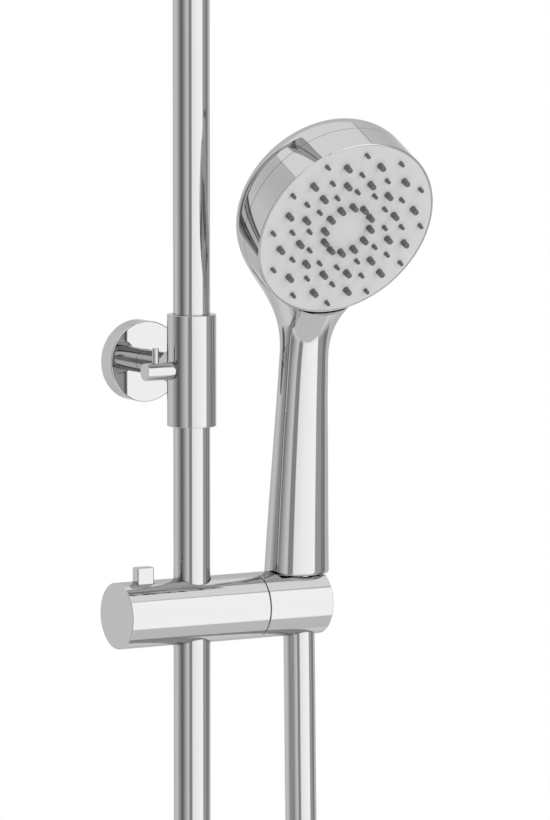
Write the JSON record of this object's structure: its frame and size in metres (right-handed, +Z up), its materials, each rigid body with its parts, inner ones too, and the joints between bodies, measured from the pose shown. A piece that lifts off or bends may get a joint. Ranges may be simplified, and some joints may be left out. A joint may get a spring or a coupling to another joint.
{
  "type": "rainfall shower column",
  "caption": "Wall-held shower column: riser pipe, bar mixer, overhead rain head, and a hand shower in a sliding, tilting holder with its hose.",
  "frame": {"origin": "middle of the wall bracket's back, on the wall", "axes": "+Z up along the riser, +Y into the wall, +X to the right as seen by someone facing the wall"},
  "size_m": [0.272, 0.57, 1.5501],
  "materials": {
    "chrome": "polished",
    "chromed_plastic": "polished",
    "steel": "brushed",
    "spring_steel": "satin",
    "grey_face": "satin",
    "rubber": "matte",
    "white_plastic": "satin",
    "black_rubber": "matte",
    "brass": "machined",
    "hose_skin": "glossy"
  },
  "bodies": {
    "column": {"riser_pipe": "chrome", "bracket_sleeve": "chrome", "bracket_arm": "chrome", "wall_escutcheon": "chrome", "wall_anchor_plate": "steel", "arm_grub_screw": "steel", "arm_union": "chrome", "union_grub_screw": "steel", "union_o_ring": "black_rubber", "mixer_body": "chrome", "riser_nut": "chrome", "inlet_nuts": "chrome", "inlet_unions": "brass", "inlet_escutcheons": "chrome", "check_valves": "white_plastic", "thermostat_cartridge": "brass", "flow_cartridge": "brass", "hose_nut": "chrome", "outlet_seal": "black_rubber", "outlet_ferrule": "brass", "hose_drop": "hose_skin", "hose_rise": "hose_skin"},
    "clamp": {"clamp_screw": "chrome", "clamp_pin": "chrome"},
    "arm": {"shower_arm": "chrome", "rain_ball_stem": "chrome", "rain_stem_nut": "chrome"},
    "ball_seat": {"rain_seat_ring": "white_plastic"},
    "rain_head": {"rain_ball_nut": "chrome", "rain_head_shell": "chrome", "rain_seal_ring": "black_rubber", "rain_face_plate": "grey_face", "rain_nozzles": "rubber"},
    "slider": {"slider_body": "chromed_plastic", "slider_liner": "white_plastic", "brake_spring": "spring_steel", "button_spring": "spring_steel", "swivel_spindle": "brass", "friction_washer": "white_plastic"},
    "brake": {"brake_shoe": "white_plastic"},
    "button": {"release_button": "chromed_plastic"},
    "holder": {"holder_body": "chromed_plastic", "holder_insert": "white_plastic", "hose_cone_nut": "chrome", "hose_ferrule": "brass", "hose_seal": "black_rubber", "hose_upper": "hose_skin"},
    "handset": {"handset_shell": "chromed_plastic", "handset_band": "chromed_plastic", "spray_face": "grey_face", "nozzles_large": "rubber", "nozzles_small": "rubber", "nozzle_mat": "rubber", "distributor_plate": "white_plastic", "waterway_tube": "white_plastic", "handset_inlet": "chrome"},
    "temperature_grip": {"temperature_handle": "chrome"},
    "temperature_button": {"temperature_stop": "chromed_plastic"},
    "flow_grip": {"flow_handle": "chrome"}
  },
  "joints": [
    {"name": "slider_slide", "type": "slide", "parent": "column", "child": "slider", "axis": [0, 0, 1], "range_m": [-0.35, 0.07], "deforming": ["hose_upper", "hose_drop", "hose_rise"]},
    {"name": "holder_tilt", "type": "hinge", "parent": "slider", "child": "holder", "pos_m": [0.0396, -0.06, -0.131], "axis": [1, 0, 0], "range_deg": [-3, 40], "deforming": ["hose_upper", "hose_drop", "hose_rise"]},
    {"name": "handset_turn", "type": "hinge", "parent": "holder", "child": "handset", "pos_m": [0.0675, -0.06, -0.131], "axis": [0, 0, 1], "range_deg": [-8, 60]},
    {"name": "button_press", "type": "slide", "parent": "slider", "child": "button", "axis": [0, 0, -1], "range_m": [0, 0.003], "stiffness_N_per_m": 900},
    {"name": "brake_release", "type": "slide", "parent": "slider", "child": "brake", "axis": [-1, 0, 0], "range_m": [0, 0.0012]},
    {"name": "clamp_turn", "type": "hinge", "parent": "column", "child": "clamp", "pos_m": [-0.0225, -0.06, 0], "axis": [1, 0, 0], "range_deg": [-90, 30]},
    {"name": "arm_swivel", "type": "hinge", "parent": "column", "child": "arm", "pos_m": [0, -0.06, 0.26], "axis": [0, 0, 1], "range_deg": [-30, 30]},
    {"name": "rain_head_pitch", "type": "hinge", "parent": "arm", "child": "ball_seat", "pos_m": [0, -0.46, 0.262], "axis": [1, 0, 0], "range_deg": [-12, 12]},
    {"name": "rain_head_roll", "type": "hinge", "parent": "ball_seat", "child": "rain_head", "pos_m": [0, -0.46, 0.262], "axis": [0, 1, 0], "range_deg": [-12, 12]},
    {"name": "temperature_turn", "type": "hinge", "parent": "column", "child": "temperature_grip", "pos_m": [0.12, -0.06, -0.786], "axis": [1, 0, 0], "range_deg": [-120, 60]},
    {"name": "stop_press", "type": "slide", "parent": "temperature_grip", "child": "temperature_button", "axis": [0, 1, 0], "range_m": [0, 0.002], "stiffness_N_per_m": 700},
    {"name": "flow_turn", "type": "hinge", "parent": "column", "child": "flow_grip", "pos_m": [-0.12, -0.06, -0.786], "axis": [1, 0, 0], "range_deg": [-90, 90]}
  ],
  "couplings": [
    {"joint": "brake_release", "follows": "button_press", "ratio": 0.4}
  ]
}
